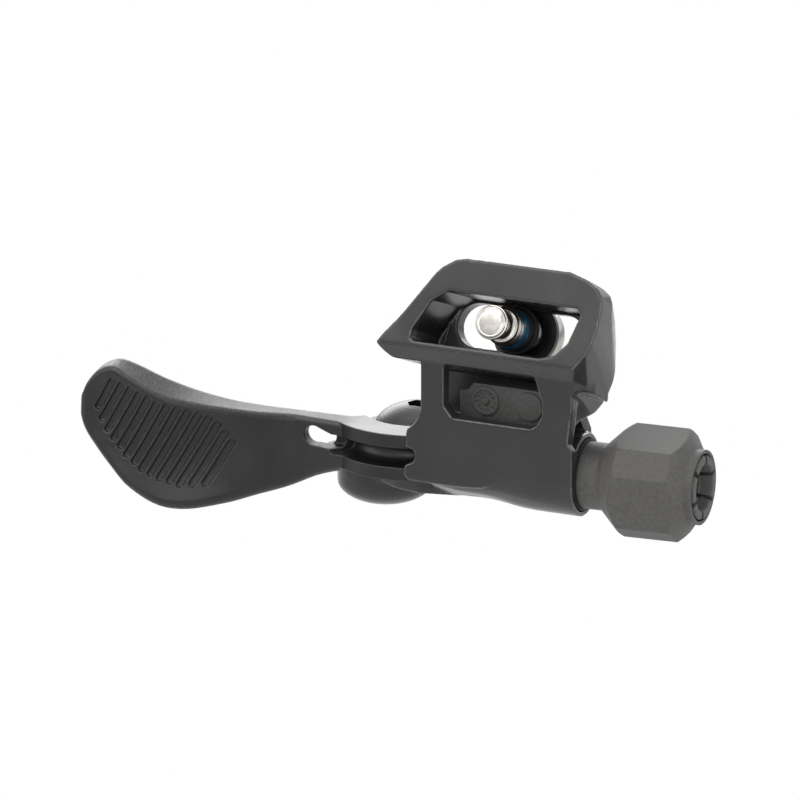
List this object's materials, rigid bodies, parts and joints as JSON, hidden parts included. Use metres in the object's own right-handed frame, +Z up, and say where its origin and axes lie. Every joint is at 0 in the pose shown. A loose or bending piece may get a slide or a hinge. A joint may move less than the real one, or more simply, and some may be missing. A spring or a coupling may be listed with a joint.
{
  "type": "dropper post remote lever",
  "caption": "Under-bar thumb lever that pulls a cable round a drum, with a window-framed clamp bracket and a cable adjuster.",
  "frame": {"origin": "on the clamp bolt's axis, at the middle of its free thread", "axes": "+X along the cable, out of the housing port; +Z up, along the lever's pivot; +Y towards the back, where the thumb pushes"},
  "size_m": [0.0818, 0.0237, 0.0362],
  "materials": {
    "anodised_black": "semi-gloss black anodising",
    "satin_black": "satin black",
    "dark_plastic": "matte, moulded",
    "steel": "plain",
    "nickel": "bright nickel",
    "bronze": "plain bearing",
    "alloy": "turned",
    "rubber": "matte"
  },
  "bodies": {
    "bracket": {"bracket": "anodised_black", "inner_cover": "dark_plastic", "cover_screw": "steel", "pivot_bolt": "satin_black", "head_washer": "steel", "thrust_washer": "bronze", "return_spring": "steel", "stop_bumper": "rubber"},
    "lever": {"lever": "satin_black", "pivot_bush_upper": "bronze", "pivot_bush_lower": "bronze", "cable_clamp_bolt": "nickel", "cable_clamp_plate": "steel"},
    "clamp": {"clamp_bolt": "nickel", "bolt_retainer": "dark_plastic", "clamp_washer": "satin_black"},
    "cable_stop": {"housing_sleeve": "dark_plastic"},
    "adjuster": {"adjuster_knob": "dark_plastic", "adjuster_barrel": "alloy", "friction_ring": "rubber"}
  },
  "joints": [
    {"name": "lever_pivot", "type": "hinge", "parent": "bracket", "child": "lever", "pos_m": [-0.01494, 0.00836, -0.01785], "axis": [0, 0, -1], "range_deg": [0, 40], "stiffness_Nm_per_rad": 0.05, "springref_deg": -20.05, "deforming": ["return_spring"]},
    {"name": "bolt_slide", "type": "slide", "parent": "bracket", "child": "clamp", "axis": [0.9962, -0.0872, 0], "range_m": [-0.0052, 0.0035]},
    {"name": "adjuster_travel", "type": "slide", "parent": "bracket", "child": "cable_stop", "axis": [1, 0, 0], "range_m": [-0.001, 0.003]},
    {"name": "adjuster_turn", "type": "hinge", "parent": "cable_stop", "child": "adjuster", "pos_m": [0.01936, -0.00093, -0.01785], "axis": [1, 0, 0], "range_deg": [-361, 1081]}
  ],
  "couplings": [
    {"joint": "adjuster_turn", "follows": "adjuster_travel", "rad_per_m": 6283.2}
  ]
}
